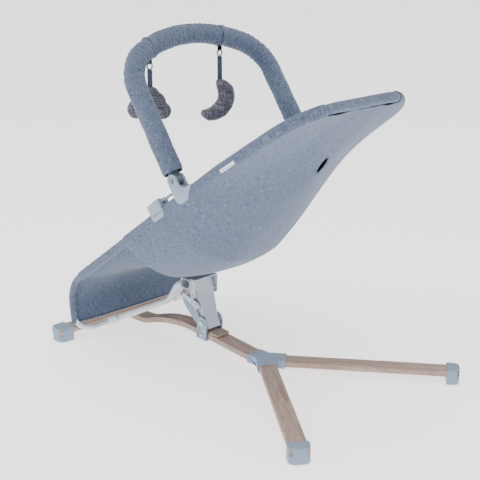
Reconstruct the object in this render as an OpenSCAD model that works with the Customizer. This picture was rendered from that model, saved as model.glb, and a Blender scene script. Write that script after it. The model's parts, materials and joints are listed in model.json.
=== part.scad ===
// Bouncer seat for a baby: a fabric sling on a bent tube frame, carried by one central bracket on a
// Y shaped wooden base, with a padded toy bar. X is across, +X the child's left side, -Y the foot end.

/* [Wooden base] */
// Width of the wooden bars
bar_w = 34; // [28:1:40]
// Thickness of the legs and the crossbar
bar_t = 13; // [11:1:16]
// Thickness of the bent centre beam
beam_t = 11; // [9:1:12]
// Height of the top face of the rear legs above the floor
leg_top = 28; // [26:1:32]
// Distance from the Y junction to a rear foot, across
foot_x = 219; // [190:1:240]
// Distance from the Y junction to a rear foot, rearward
foot_y = 289; // [250:1:310]
// Half length of the front crossbar with its caps
cross_x = 203; // [180:1:220]
// Distance from the Y junction forward to the crossbar
cross_y = 396; // [392:1:400]
// Wall of the moulded foot caps
cap_wall = 1.5; // [1.5:0.5:2]

/* [Centre bracket] */
// Distance from the Y junction forward to the main pivot
pivot_y = 154; // [150:1:158]
// Height of the main pivot above the floor
pivot_z = 58; // [56:1:60]
// Radius of the main pin and the top pin
pin_r = 4; // [3:0.5:5]
// Greatest recline from the upright position, in degrees
recline_max = 16; // [8:1:18]

/* [Seat frame] */
// Slope of the side rails, in degrees
rail_slope = 35.2; // [34.5:0.1:36]
// Half of the distance between the side rails
rail_x = 170; // [165:1:175]
// Radius of the rail tube
rail_r = 8; // [7:0.5:9]
// Length of the side rails up to the head end, from the knee joint
rail_v = 638; // [620:1:650]
// Bend radius at the two head corners
head_r = 92; // [80:1:95]
// Radius of the front leg rods
rod_r = 5; // [4:0.5:5.5]

/* [Fabric] */
// Greatest depth of the sling below the rails
sling_depth = 121; // [110:1:123]
// Thickness of the doubled sling fabric
sling_t = 3; // [2:0.5:4]
// Thickness of the leg panel fabric
panel_t = 2; // [1.5:0.5:3]

/* [Toy bar] */
// Height of the toy bar above its pivots
bar_h = 272; // [250:1:290]
// Radius of the padded bar cover
cover_r = 17; // [14:0.5:18]
// Forward lean of the toy bar from upright, in degrees
bar_lean = 34.4; // [31:0.1:36]

/* [Hidden] */

$fn = 48;
gap = 0.05;
tuck = 0.6;
hair = 0.1;
leg_length = norm([foot_x, foot_y]);
leg_turn = atan2(foot_x, foot_y);
cap_out = cap_wall + 0.1;
front_edge = cross_y + bar_w / 2 + cap_out;
rear_edge = foot_y + cap_out * cos(leg_turn) + (bar_w / 2 + cap_out) * sin(leg_turn);
origin_y = (front_edge - rear_edge) / 2;
cap_len = 32;
rear_cap_len = 24;
cap_round = 12;

// centre beam: top line rises from the junction, arches over and meets the crossbar's underside
beam_rise = 5;
beam_fall = 18.7;
beam_start = [-12, leg_top - 1.5];
hump_y = -180;
hump_r = 320;
dip_r = 100;
cross_bottom = leg_top - bar_t;

// mechanism, as [y, z], and where its layers lie across
pivot = [-pivot_y, pivot_z];
lock = pivot + [-14, 34.5];
hub = pivot + [-34, 54];
tube_d = pivot + [-38, 77];
flange_x = 14;
flange_t = 2.5;
plate_x = 17;
plate_t = 2.8;
ear_x = plate_x + plate_t;
lever_x = ear_x + 0.3;
lever_t = 2.5;
head_t = 2;

// seat rails: a frame with Y along the rail and Z square to it
rail_base = [0, -306, 174.6];
knee_v = -96.7;
leg_dir = [0, sin(7), -cos(7)];
// the rails draw in from here to the head corners
taper_v = 440;
head_x = rail_x - 30;
rod_socket = 16;
knee_r = 72;
foot_r = 30;
kink = [7, -270, 73];
rise = [7, -236, 122];
tube_r = 6.5;
tube_wall = 1.2;
collar_at = 0.40;

// toy bar, in its own leaning plane
bar_pivot = [rail_x, -51.5, 395.2];
corner_r = 80;
corner_turn = 65;
crown_r = (rail_x - corner_r * (1 - cos(corner_turn))) / sin(90 - corner_turn);
bar_straight = bar_h - corner_r * sin(corner_turn) - crown_r * (1 - cos(90 - corner_turn));
ear_gap = 15;
ear_t = 4;
bracket_v = 335.1;
bracket_w = 33.6;

function unit(v) = v / norm(v);
function on_rail(x, v, w) = rail_base + [x, v * cos(rail_slope) - w * sin(rail_slope),
    v * sin(rail_slope) + w * cos(rail_slope)];
function flat(p, x) = [x, p[0], p[1]];
function mirrored(p) = [-p.x, p.y, p.z];
knee = on_rail(rail_x, knee_v, 0);
foot_corner = knee + leg_dir * ((knee.z - 17) / -leg_dir.z);
collar_point = foot_corner + (kink - foot_corner) * collar_at;
kink_dir = unit(kink - foot_corner);

// ---------- general shapes ----------

// puts a child at a point with its Z along "ahead" and its X towards "side"
module frame_at(point, ahead, side) {
    y = cross(ahead, side);
    multmatrix([[side.x, y.x, ahead.x, point.x], [side.y, y.y, ahead.y, point.y],
        [side.z, y.z, ahead.z, point.z], [0, 0, 0, 1]]) children();
}

function any_side(d) = unit(cross(abs(d.x) < 0.9 ? [1, 0, 0] : [0, 1, 0], d));
function turn_at(a, b, c) = acos(unit(b - a) * unit(c - b));
function lead_in(a, b, c, r) = r * tan(turn_at(a, b, c) / 2);

module elbow(a, b, c, bend_r, tube_r) {
    ahead = unit(b - a);
    next = unit(c - b);
    angle = turn_at(a, b, c);
    frame_at(b - ahead * lead_in(a, b, c, bend_r), ahead, unit(next - (next * ahead) * ahead))
        translate([bend_r, 0, 0]) rotate([90, 0, 0]) rotate([0, 0, 180 - angle])
        rotate_extrude(angle = angle) translate([bend_r, 0]) circle(r = tube_r);
}

// a bent tube through the points, with one bend radius for each inner point; the straight runs
// are a hair thinner than the bends and reach a little way into them
module bent_tube(points, bends, tube_r) {
    last = len(points) - 1;
    for (i = [0 : last - 1]) {
        a = points[i];
        b = points[i + 1];
        skip = i == 0 ? 0 : lead_in(points[i - 1], a, b, bends[i - 1]) - tuck;
        stop = i == last - 1 ? 0 : lead_in(a, b, points[i + 2], bends[i]) - tuck;
        frame_at(a + unit(b - a) * skip, unit(b - a), any_side(unit(b - a)))
            cylinder(h = norm(b - a) - skip - stop, r = tube_r - hair);
    }
    for (i = [1 : last - 1]) elbow(points[i - 1], points[i], points[i + 1], bends[i - 1], tube_r);
}

module rod(a, b, r) {
    frame_at(a, unit(b - a), any_side(unit(b - a))) cylinder(h = norm(b - a), r = r);
}

// a bar along X, at [y, z], from x0 to x1
module cross_rod(at, x0, x1, r) {
    translate([x0, at[0], at[1]]) rotate([0, 90, 0]) cylinder(h = x1 - x0, r = r);
}

// a bar of wood along Y with four rounded long edges, top face at z = 0
module wood_bar(length, width, height, edge = 4) {
    translate([0, length, -height / 2]) rotate([90, 0, 0]) linear_extrude(length) union() {
        square([width - 2 * edge, height], center = true);
        square([width, height - 2 * edge], center = true);
        for (x = [-1, 1], z = [-1, 1])
            translate([x * (width / 2 - edge), z * (height / 2 - edge)]) circle(r = edge);
    }
}

// a plate across X from a profile drawn in Y and Z
module side_plate(x, thickness) {
    translate([x, 0, 0]) rotate([90, 0, 90]) linear_extrude(thickness) children();
}

// the closed skin between two grids of points that share their edges
module skin(front, back) {
    rows = len(front);
    cols = len(front[0]);
    count = rows * cols;
    function at(r, c, side) = side * count + r * cols + c;
    flat_points = [for (side = [front, back], row = side, p = row) p];
    faces = concat(
        [for (r = [0 : rows - 2], c = [0 : cols - 2])
            each [[at(r, c, 0), at(r, c + 1, 0), at(r + 1, c + 1, 0)],
                [at(r, c, 0), at(r + 1, c + 1, 0), at(r + 1, c, 0)]]],
        [for (r = [0 : rows - 2], c = [0 : cols - 2])
            each [[at(r, c, 1), at(r + 1, c + 1, 1), at(r, c + 1, 1)],
                [at(r, c, 1), at(r + 1, c, 1), at(r + 1, c + 1, 1)]]],
        [for (r = [0 : rows - 2])
            each [[at(r, 0, 0), at(r + 1, 0, 0), at(r, 0, 1)],
                [at(r + 1, 0, 0), at(r + 1, 0, 1), at(r, 0, 1)],
                [at(r, cols - 1, 0), at(r, cols - 1, 1), at(r + 1, cols - 1, 0)],
                [at(r + 1, cols - 1, 0), at(r, cols - 1, 1), at(r + 1, cols - 1, 1)]]],
        [for (c = [0 : cols - 2])
            each [[at(0, c, 0), at(0, c, 1), at(0, c + 1, 0)],
                [at(0, c + 1, 0), at(0, c, 1), at(0, c + 1, 1)],
                [at(rows - 1, c, 0), at(rows - 1, c + 1, 0), at(rows - 1, c, 1)],
                [at(rows - 1, c + 1, 0), at(rows - 1, c + 1, 1), at(rows - 1, c, 1)]]]);
    polyhedron(points = flat_points, faces = faces);
}

// ---------- wooden base ----------

module front_crossbar() {
    color("#c7b7ac") translate([-cross_x + cap_wall + 1, -cross_y, leg_top])
        rotate([0, 0, -90]) wood_bar(2 * (cross_x - cap_wall - 1), bar_w, bar_t);
}

function beam_top() = concat([beam_start],
    [for (t = [0 : 1 : 12]) let (a = beam_rise - t * (beam_rise + beam_fall) / 12)
        [hump_y - hump_r * (sin(beam_rise) - sin(a)),
            beam_start[1] + (beam_start[0] - hump_y) * tan(beam_rise)
            + hump_r * (cos(a) - cos(beam_rise))]]);
beam_over = beam_top()[13];
dip_end_z = cross_bottom;
dip_top_z = dip_end_z + dip_r * (1 - cos(beam_fall));
dip_y = beam_over[0] - (beam_over[1] - dip_top_z) / tan(beam_fall);
function beam_dip() = [for (t = [0 : 1 : 6]) let (a = beam_fall * (1 - t / 6))
    [dip_y - dip_r * (sin(beam_fall) - sin(a)), dip_end_z + dip_r * (1 - cos(a))]];
beam_line = concat(beam_top(), beam_dip(), [[-cross_y - bar_w / 2 + 1, dip_end_z]]);

module centre_beam() {
    under = [for (i = [len(beam_line) - 1 : -1 : 0]) beam_line[i] - [0, beam_t]];
    color("#c7b7ac") intersection() {
        side_plate(-bar_w / 2, bar_w) polygon(concat(beam_line, under));
        translate([0, -cross_y - bar_w, 30]) rotate([-90, 0, 0]) linear_extrude(2 * cross_y)
            square([bar_w, 60], center = true);
    }
}

module rear_leg(side) {
    color("#c7b7ac") translate([0, 0, leg_top]) rotate([0, 0, -side * leg_turn])
        translate([0, 22, 0]) wood_bar(leg_length - 22 - cap_wall, bar_w, bar_t);
}

module junction_arm(length, width, top, bottom) {
    translate([-width / 2, 0, bottom]) cube([width, length, top - bottom]);
}

module rear_junction() {
    arm_w = bar_w + 2 * cap_wall;
    color("#8a9bb0") difference() {
        union() {
            for (s = [-1, 1]) rotate([0, 0, s * leg_turn])
                junction_arm(40, arm_w, leg_top + cap_wall, leg_top - bar_t - cap_wall);
            rotate([0, 0, 180])
                junction_arm(30, arm_w, leg_top + cap_wall, leg_top - bar_t - cap_wall);
            translate([0, 0, leg_top - bar_t - cap_wall])
                cylinder(h = bar_t + 2 * cap_wall, r = arm_w / 2);
        }
        for (s = [-1, 1]) rotate([0, 0, -s * leg_turn])
            translate([-bar_w / 2 - gap, 22 - gap, leg_top - bar_t - gap])
            cube([bar_w + 2 * gap, 60, bar_t + 2 * gap]);
        translate([-bar_w / 2 - gap, -60, leg_top - bar_t - cap_wall - 1])
            cube([bar_w + 2 * gap, 60 + beam_start[0] + gap, bar_t + cap_wall + 1 + gap]);
    }
}

// a moulded cap on the end of a bar that runs along +Y, resting on the floor
module foot_cap(length) {
    width = bar_w + 2 * cap_out;
    rim = cap_wall + 0.6;
    difference() {
        union() {
            translate([-width / 2, 0, 1.5])
                cube([width, length - cap_round, leg_top + rim - 1.5]);
            translate([-width / 2 + cap_round, 0, 1.5])
                cube([width - 2 * cap_round, length, leg_top + rim - 1.5]);
            for (s = [-1, 1]) translate([s * (width / 2 - cap_round), length - cap_round, 1.5])
                cylinder(h = leg_top + rim - 1.5, r = cap_round);
        }
        translate([-bar_w / 2 - gap, -1, leg_top - bar_t - gap])
            cube([bar_w + 2 * gap, length - cap_out + 1 + gap, bar_t + 2 * gap]);
    }
}

module at_rear_foot(side) {
    rotate([0, 0, -side * leg_turn]) translate([0, leg_length + cap_out - rear_cap_len, 0])
        children();
}

module at_front_foot(side) {
    translate([side * (cross_x - cap_len), -cross_y, 0]) rotate([0, 0, -side * 90]) children();
}

module rear_foot_cap(side) {
    color("#8a9bb0") at_rear_foot(side) foot_cap(rear_cap_len);
}

module front_foot_cap(side) {
    color("#8a9bb0") at_front_foot(side) foot_cap(cap_len);
}

module foot_pads() {
    color("#5b6470") for (s = [-1, 1]) {
        at_rear_foot(s) translate([0, 12, 0]) cylinder(h = 1.5, r = 9);
        at_front_foot(s) translate([0, 16, 0]) cylinder(h = 1.5, r = 11);
    }
}

module crossbar_screws() {
    color("#b9bdc4") for (x = [-9, 9]) translate([x, -cross_y, cross_bottom - beam_t - 1.8])
        cylinder(h = 1.8, r = 4.5);
}

module junction_screws() {
    color("#b9bdc4") {
        for (s = [-1, 1]) rotate([0, 0, -s * leg_turn]) translate([0, 31, leg_top + cap_wall])
            cylinder(h = 1.5, r = 4);
        translate([0, -21, leg_top + cap_wall]) cylinder(h = 1.5, r = 4);
    }
}

// ---------- centre bracket ----------

// a frame on the beam's top face under the main pivot
module on_beam() {
    translate([0, pivot[0], beam_start[1] + (beam_start[0] - pivot[0]) * tan(beam_rise)])
        rotate([-beam_rise, 0, 0]) children();
}

pin_lift = pivot_z - beam_start[1] - (beam_start[0] - pivot[0]) * tan(beam_rise);

module saddle_bracket() {
    base = -beam_t - 0.4;
    cheek = ear_x + 3;
    color("#8a9bb0") difference() {
        union() {
            on_beam() translate([-cheek, -14, base - 3]) cube([2 * cheek, 27, 3 - base]);
            for (s = [-1, 1]) {
                on_beam() translate([s > 0 ? ear_x : -cheek, -14, -1])
                    cube([3, 27, pin_lift + 2]);
                cross_rod(pivot, s > 0 ? ear_x : -cheek, s > 0 ? cheek : -ear_x, 13.5);
            }
        }
        on_beam() translate([-bar_w / 2 - 0.1, -30, base]) cube([bar_w + 0.2, 60, 2 - base]);
        on_beam() translate([-ear_x, -30, 1]) cube([2 * ear_x, 60, 60]);
        cross_rod(pivot, -40, 40, pin_r);
        on_beam() translate([-40, 0, -beam_t / 2]) rotate([0, 90, 0]) cylinder(h = 80, r = 2);
    }
}

module saddle_screws() {
    color("#b9bdc4") on_beam() for (s = [-1, 1])
        translate([s > 0 ? ear_x + 3 : -ear_x - 4.6, 0, -beam_t / 2])
        rotate([0, 90, 0]) cylinder(h = 1.6, r = 4);
}

module saddle_pad() {
    color("#8b8578") on_beam() {
        translate([-bar_w / 2 + 0.5, -14, 0.05]) cube([bar_w - 1, 40, 2.4]);
        translate([-bar_w / 2 + 0.5, 17, 2]) cube([bar_w - 1, 22, 4]);
    }
}

// fixed plate beside the strut, from the main pin up to the clamp bolt
module side_plate_profile() {
    union() {
        polygon([[-146, 62], [-160, 66], [-166, 74], [-172, 82], [-163, 88], [-170, 98],
            [-195, 101], [-209, 101], [-212, 94], [-206, 83], [-191, 68.5], [-177.5, 57.5],
            [-162, 50]]);
        translate(pivot) circle(r = 11);
        translate(lock) circle(r = 7);
    }
}

module plate_of(side) {
    color("#8a9bb0") side_plate(side > 0 ? plate_x : -ear_x, plate_t) difference() {
        side_plate_profile();
        translate(pivot) circle(r = pin_r);
        translate(lock) circle(r = 3 + gap);
    }
}

module main_pin() {
    out = ear_x + 3;
    color("#aeb6c0") {
        cross_rod(pivot, -out - head_t, out + head_t, pin_r);
        for (s = [-1, 1]) cross_rod(pivot, s > 0 ? out : -out - head_t,
            s > 0 ? out + head_t : -out, 6.5);
    }
}

module d_profile(grow) {
    translate(tube_d) union() {
        square([28 + 2 * grow, 21 + 2 * grow - 14], center = true);
        square([28 + 2 * grow - 14, 21 + 2 * grow], center = true);
        for (y = [-1, 1], z = [-1, 1])
            translate([y * (7 + grow), z * (3.5 + grow)]) circle(r = 7);
    }
}

module carrier_tube() {
    color("#c3c9d3") side_plate(-31, 62) difference() {
        d_profile(0);
        d_profile(-2);
    }
}

// the flange of the strut: it carries the main pin, the top pin and the D tube, and has the
// curved slot that slides past the clamp bolt as the seat reclines
strut_foot = [-141, 48];
strut_top = [-177, 146];
module flange_profile() {
    reach = norm(lock - pivot);
    start = atan2(lock[1] - pivot[1], lock[0] - pivot[0]);
    difference() {
        union() {
            translate(pivot) circle(r = 10);
            translate(hub) circle(r = 12);
            polygon([pivot + [0, -10], strut_foot + [-0.8, 3], strut_top + [-0.8, -1],
                [-181, 141], [-209, 141], [-209, 126], [-200, 104], [-190, 82],
                pivot + [-9.5, 2]]);
        }
        translate(pivot) circle(r = pin_r + gap);
        translate(hub) circle(r = pin_r);
        d_profile(0);
        for (t = [0 : 1 : 8]) translate(pivot + reach
            * [cos(start + t * recline_max / 8), sin(start + t * recline_max / 8)])
            circle(r = 3.3);
    }
}

module rear_strut() {
    lean = atan2(strut_foot[0] - strut_top[0], strut_top[1] - strut_foot[1]);
    height = norm(strut_top - strut_foot);
    ear = [-170.5, 116];
    edge = flange_x + flange_t;
    color("#b4bac6") union() {
        translate([0, strut_foot[0], strut_foot[1]]) rotate([lean, 0, 0]) rotate([90, 0, 0])
            translate([0, 0, -1.25]) linear_extrude(2.5)
            polygon([[-edge, 0], [edge, 0], [edge, 30], [26, height], [-26, height],
                [-edge, 30]]);
        for (s = [-1, 1]) side_plate(s > 0 ? flange_x : -edge, flange_t) flange_profile();
        translate([-31, -178, 146.2]) cube([62, 15, 2]);
        for (s = [-1, 1]) side_plate(s > 0 ? 28.5 : -31, 2.5) difference() {
            union() {
                translate([-178, 116]) square([15, 31]);
                translate(ear) circle(r = 7.5);
            }
            translate(ear) circle(r = 2);
        }
    }
}

module top_pin() {
    out = flange_x + flange_t;
    color("#aeb6c0") {
        cross_rod(hub, -out - head_t, out + head_t, pin_r);
        for (s = [-1, 1]) cross_rod(hub, s > 0 ? out : -out - head_t,
            s > 0 ? out + head_t : -out, 6);
    }
}

module clamp_bolt() {
    color("#aeb6c0") {
        cross_rod(lock, -lever_x - lever_t - 1.5, lever_x + lever_t + 1.5, 3);
        for (s = [-1, 1]) cross_rod(lock, s > 0 ? lever_x + lever_t : -lever_x - lever_t - 1.5,
            s > 0 ? lever_x + lever_t + 1.5 : -lever_x - lever_t, 4.2);
    }
}

module lock_lever(side) {
    tip = lock + [-39, 12];
    along = unit(tip - lock);
    across = [-along[1], along[0]];
    color("#c3c9d3") side_plate(side > 0 ? lever_x : -lever_x - lever_t, lever_t) difference() {
        union() {
            translate(lock) circle(r = 7);
            translate(tip) circle(r = 4.5);
            polygon([lock + 7 * across, lock - 7 * across, tip - 4.5 * across,
                tip + 4.5 * across]);
        }
        translate(lock) circle(r = 3);
        translate(lock + 14 * along) circle(r = 2);
    }
}

// ---------- seat frame ----------

module seat_hub() {
    color("#9aa4b2") difference() {
        cross_rod(hub, -flange_x + 0.3, flange_x - 0.3, 10);
        cross_rod(hub, -40, 40, 7.5);
    }
}

module rubber_bush() {
    color("#3c4048") difference() {
        cross_rod(hub, -flange_x + 0.4, flange_x - 0.4, 7.5);
        cross_rod(hub, -40, 40, pin_r + gap);
    }
}

hub_reach = unit(flat(hub, 0) - [0, rise.y, rise.z]);
tube_end = [kink.x, hub[0], hub[1]] - hub_reach * 8;

module centre_tube_path(side) {
    mirror([side > 0 ? 0 : 1, 0, 0]) children();
}

module centre_tube(side) {
    start = collar_point + kink_dir * -8;
    color("#dfe3ee") centre_tube_path(side) difference() {
        bent_tube([start, kink, rise, tube_end], [16, 22], tube_r);
        bent_tube([start - kink_dir, kink, rise, tube_end - hub_reach * 3], [16, 22],
            rod_r + gap);
        cross_rod(hub, -40, 40, 10);
    }
}

module tube_collar(side) {
    color("#e8ebf3") centre_tube_path(side) difference() {
        rod(collar_point - kink_dir * 10, collar_point + kink_dir * 8, 9);
        rod(collar_point - kink_dir * 8 , collar_point + kink_dir * 9, tube_r + 0.02);
        rod(collar_point - kink_dir * 11, collar_point, rod_r + gap);
    }
}

module rod_sleeve(side) {
    low = on_rail(rail_x, -rod_socket - 24, 0);
    high = on_rail(rail_x, -rod_socket, 0);
    color("#5b6470") centre_tube_path(side) difference() {
        rod(low, high, rail_r - tube_wall - hair - 0.02);
        rod(low - unit(high - low), high + unit(high - low), rod_r + gap);
    }
}

module leg_rod(side) {
    top = on_rail(rail_x, -rod_socket, 0);
    color("#dfe3ee") centre_tube_path(side)
        bent_tube([top, knee, foot_corner, collar_point + kink_dir * 12], [knee_r, foot_r], rod_r);
}

module rim_tube() {
    low = on_rail(rail_x, -rod_socket - 24, 0);
    past = on_rail(rail_x, -rod_socket - 26, 0);
    waist = on_rail(rail_x, taper_v, 0);
    high = on_rail(head_x, rail_v, 0);
    bends = [400, head_r, head_r, 400];
    color("#dfe3ee") difference() {
        bent_tube([mirrored(low), mirrored(waist), mirrored(high), high, waist, low], bends,
            rail_r);
        bent_tube([mirrored(past), mirrored(waist), mirrored(high), high, waist, past], bends,
            rail_r - tube_wall);
    }
}

// ---------- fabric ----------

// depth of the sling below the rails, along the seat: deepest under the child's seat, then
// shallower towards the head
deepest_v = 255;
function bucket(v) = sling_depth * (v < deepest_v
    ? 0.64 + 0.36 * sin(90 * (v - 60) / (deepest_v - 60))
    : pow(max(0, 1 - (v - deepest_v) / (sling_end - deepest_v)), 0.85));
// half width between the rails, which draw in and then close round the head bow
head_turn = atan2(rail_x - head_x, rail_v - taper_v);
bow_v = rail_v - head_r;
bow_x = rail_x - (bow_v + head_r * sin(head_turn) - taper_v) * tan(head_turn)
    - head_r * cos(head_turn);
function half_width(v, inset) = v < taper_v ? rail_x - inset
    : v < bow_v + head_r * sin(head_turn) ? rail_x - inset - (v - taper_v) * tan(head_turn)
    : bow_x + sqrt(max(0, pow(head_r - inset, 2) - pow(v - bow_v, 2)));

sling_front = 88;
sling_end = rail_v - rail_r - 1.5;
function hem_sweep(u) = 51 * pow(abs(u), 1.5);
function sling_point(r, c, rows, cols, lower) = let (
    u = 2 * c / cols - 1,
    front = sling_front + hem_sweep(u),
    v = front + (sling_end - front) * (1 - pow(1 - r / rows, 1.3)),
    x = u * half_width(v, rail_r + 5),
    edge = 1 - pow(abs(u), 2.6))
    on_rail(x, v, -2 - bucket(v) * edge - lower * sling_t * (0.4 + 0.6 * edge));

module sling() {
    rows = 20;
    cols = 22;
    inner = [for (r = [0 : rows]) [for (c = [0 : cols]) sling_point(r, c, rows, cols, 0)]];
    outer = [for (r = [0 : rows]) [for (c = [0 : cols]) sling_point(r, c, rows, cols, 1)]];
    color("#6f7c93") skin(inner, outer);
}

// the leg panel follows the rails to the knee, turns down over the bend and ends above the floor
panel_back = 136;
knee_turn = acos(leg_dir * [0, -cos(rail_slope), -sin(rail_slope)]);
knee_lead = knee_r * tan(knee_turn / 2);
knee_arc = knee_r * knee_turn * PI / 180;
rail_run = panel_back - knee_v - knee_lead;
leg_run = norm(foot_corner - knee) - knee_lead - 20;
panel_run = rail_run + knee_arc + leg_run;
function panel_line(s) = s < rail_run ? on_rail(0, panel_back - s, 0)
    : s < rail_run + knee_arc ? let (a = (s - rail_run) * 180 / (PI * knee_r),
        start = on_rail(0, knee_v + knee_lead, 0), inward = [0, sin(rail_slope), -cos(rail_slope)],
        ahead = [0, -cos(rail_slope), -sin(rail_slope)])
        start + knee_r * (ahead * sin(a) + inward * (1 - cos(a)))
    : [0, knee.y, knee.z] + leg_dir * (knee_lead + s - rail_run - knee_arc);
function panel_ahead(s) = unit(panel_line(s + 1) - panel_line(s));
function panel_sag(s) = let (t = s / panel_run) 6 + 80 * pow(max(0, 1 - t / 0.6), 1.35);
function panel_point(r, c, rows, cols, lower) = let (
    s = panel_run * r / rows,
    u = 2 * c / cols - 1,
    d = panel_ahead(s),
    inward = [0, -d.z, d.y],
    edge = 1 - pow(abs(u), 2.2))
    panel_line(s) + [u * (rail_x - rail_r - 5), 0, 0]
    + inward * (1 + panel_sag(s) * edge + lower * panel_t);

module leg_panel() {
    rows = 20;
    cols = 14;
    inner = [for (r = [0 : rows]) [for (c = [0 : cols]) panel_point(r, c, rows, cols, 0)]];
    outer = [for (r = [0 : rows]) [for (c = [0 : cols]) panel_point(r, c, rows, cols, 1)]];
    color("#656f84") skin(inner, outer);
}

// ---------- harness ----------

// a strap of constant width that follows a list of points, its width along "across"
module strap(points, across, width, thickness) {
    lift = [for (i = [0 : len(points) - 1]) let (
        a = points[max(0, i - 1)], b = points[min(len(points) - 1, i + 1)])
        unit(cross(unit(b - a), across)) * thickness];
    low = [for (p = points) [p - across * width / 2, p + across * width / 2]];
    high = [for (i = [0 : len(points) - 1]) [points[i] - across * width / 2 + lift[i],
        points[i] + across * width / 2 + lift[i]]];
    skin(high, low);
}

buckle_v = 226;
buckle_w = -88;

module at_buckle() {
    translate(on_rail(0, buckle_v, buckle_w)) rotate([rail_slope, 0, 0]) children();
}

module crotch_strap() {
    points = [for (t = [0 : 1 : 8]) on_rail(0, 158 + 50 * t / 8,
        -104 + 14 * sin(90 * t / 8))];
    color("#4a505c") strap(points, [1, 0, 0], 28, 2);
}

module waist_strap(side) {
    points = [for (t = [0 : 1 : 10]) let (u = t / 10)
        on_rail(side * (36 + 113 * u), buckle_v + 34 * u, -82 + 68 * pow(u, 2.4))];
    across = [0, cos(rail_slope), sin(rail_slope)];
    color("#4a505c") strap(points, across * side, 22, 2);
}

module buckle_body() {
    color("#5b6470") at_buckle() difference() {
        union() {
            translate([-23, -17, 0]) cube([46, 34, 12]);
            for (s = [-1, 1]) translate([s * 23, 0, 0]) cylinder(h = 12, r = 12);
        }
        translate([0, 0, 5]) cylinder(h = 10, r = 10.1);
    }
}

module buckle_button() {
    color("#b4bac6") at_buckle() translate([0, 0, 8.2]) cylinder(h = 5.8, r = 10);
}

clip_v = 262;
module at_clip(side) {
    mirror([side > 0 ? 0 : 1, 0, 0]) translate(on_rail(rail_x, clip_v, 0))
        rotate([rail_slope, 0, 0]) children();
}

// a clip that snaps over the rail and holds the end of a waist strap
module side_clip(side) {
    color("#9fb0c3") at_clip(side) difference() {
        union() {
            translate([-11, -18, -4]) cube([22, 36, 29]);
            translate([-11, -15, -7]) cube([22, 30, 5]);
        }
        translate([0, 30, 0]) rotate([90, 0, 0]) cylinder(h = 60, r = rail_r + 0.02);
        translate([-6.5, -30, -20]) cube([13, 60, 20]);
        translate([-3, 2, 14.6]) cube([6, 30, 20]);
        translate([9, -13, 2]) cube([5, 26, 1.6]);
        translate([-20, -9, 12]) cube([16, 14, 4]);
    }
    color("#9fb0c3") at_clip(side) translate([-3.5, 9, 20]) rotate([0, 90, 0])
        cylinder(h = 7, r = 1.5);
}

module clip_lever(side) {
    color("#9fb0c3") at_clip(side) difference() {
        union() {
            translate([-2.8, 9, 20]) rotate([0, 90, 0]) cylinder(h = 5.6, r = 4.4);
            translate([-2.8, 9, 17.4]) cube([5.6, 36, 3.6]);
            translate([-2.8, 45, 19.2]) rotate([0, 90, 0]) cylinder(h = 5.6, r = 1.8);
        }
        translate([-10, 9, 20]) rotate([0, 90, 0]) cylinder(h = 20, r = 1.5 + gap);
    }
}

// ---------- toy bar ----------

module bar_bracket(side) {
    color("#9fb0c3") mirror([side > 0 ? 0 : 1, 0, 0]) translate(on_rail(rail_x, bracket_v, 0))
        rotate([rail_slope, 0, 0]) difference() {
            union() {
                for (x = [ear_gap / 2, -ear_gap / 2 - ear_t]) side_plate(x, ear_t) union() {
                    translate([0, bracket_w]) circle(r = 11.5);
                    polygon([[-11.5, bracket_w], [-11.5, 0], [-4, -9.5], [16, -9.5],
                        [40, 6], [40, 9.5], [26, 10.5], [15, 15], [11.5, 22],
                        [11.5, bracket_w]]);
                }
                translate([-ear_gap / 2, -11.5, 0]) cube([ear_gap, 46, 9.5]);
            }
            translate([0, 80, 0]) rotate([90, 0, 0]) cylinder(h = 160, r = rail_r + 0.02);
            translate([0, 0, bracket_w]) rotate([0, 90, 0])
                cylinder(h = 60, r = 3, center = true);
        }
}

module at_bar() {
    translate([0, bar_pivot.y, bar_pivot.z]) rotate([bar_lean, 0, 0]) children();
}

module bar_pin(side) {
    reach = ear_gap / 2 + ear_t;
    color("#6d7480") mirror([side > 0 ? 0 : 1, 0, 0])
        translate([rail_x, bar_pivot.y, bar_pivot.z]) rotate([0, 90, 0]) {
            cylinder(h = 2 * reach, r = 2.9, center = true);
            translate([0, 0, reach]) cylinder(h = 1.5, r = 4.5);
        }
}

module bar_end(side) {
    color("#8a94a3") mirror([side > 0 ? 0 : 1, 0, 0]) at_bar() translate([rail_x, 0, 0])
        difference() {
            union() {
                rotate([0, 90, 0]) cylinder(h = ear_gap - 1, r = 10, center = true);
                translate([-(ear_gap - 1) / 2, -7, 0]) cube([ear_gap - 1, 14, 16]);
                translate([0, 0, 12]) cylinder(h = 28, r = 8 - tube_wall - hair - gap);
            }
            rotate([0, 90, 0]) cylinder(h = 60, r = 3 + gap, center = true);
        }
}

module bar_tube_path(r, start) {
    crown = 90 - corner_turn + 0.3;
    for (s = [-1, 1]) mirror([s > 0 ? 0 : 1, 0, 0]) {
        translate([rail_x, 0, start]) cylinder(h = bar_straight - start + tuck, r = r - hair);
        translate([rail_x - corner_r, 0, bar_straight]) rotate([90, 0, 0])
            rotate_extrude(angle = corner_turn) translate([corner_r, 0]) circle(r = r);
    }
    translate([0, 0, bar_h - crown_r]) rotate([90, 0, 0]) rotate([0, 0, 90 - crown])
        rotate_extrude(angle = 2 * crown) translate([crown_r, 0]) circle(r = r - hair);
}

module bar_tube() {
    color("#dfe3ee") at_bar() difference() {
        bar_tube_path(8, 16.2);
        bar_tube_path(8 - tube_wall, 10);
    }
}

module bar_cover() {
    color("#6f7c93") at_bar() difference() {
        bar_tube_path(cover_r, 19);
        bar_tube_path(8.02, 10);
    }
}

cloud_x = 105;
moon_x = -75;
function bar_height(x) = bar_h - crown_r * (1 - sqrt(1 - pow(x / crown_r, 2)));
function hang(x) = bar_pivot + [x - rail_x, -bar_height(x) * sin(bar_lean),
    bar_height(x) * cos(bar_lean)];

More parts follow.
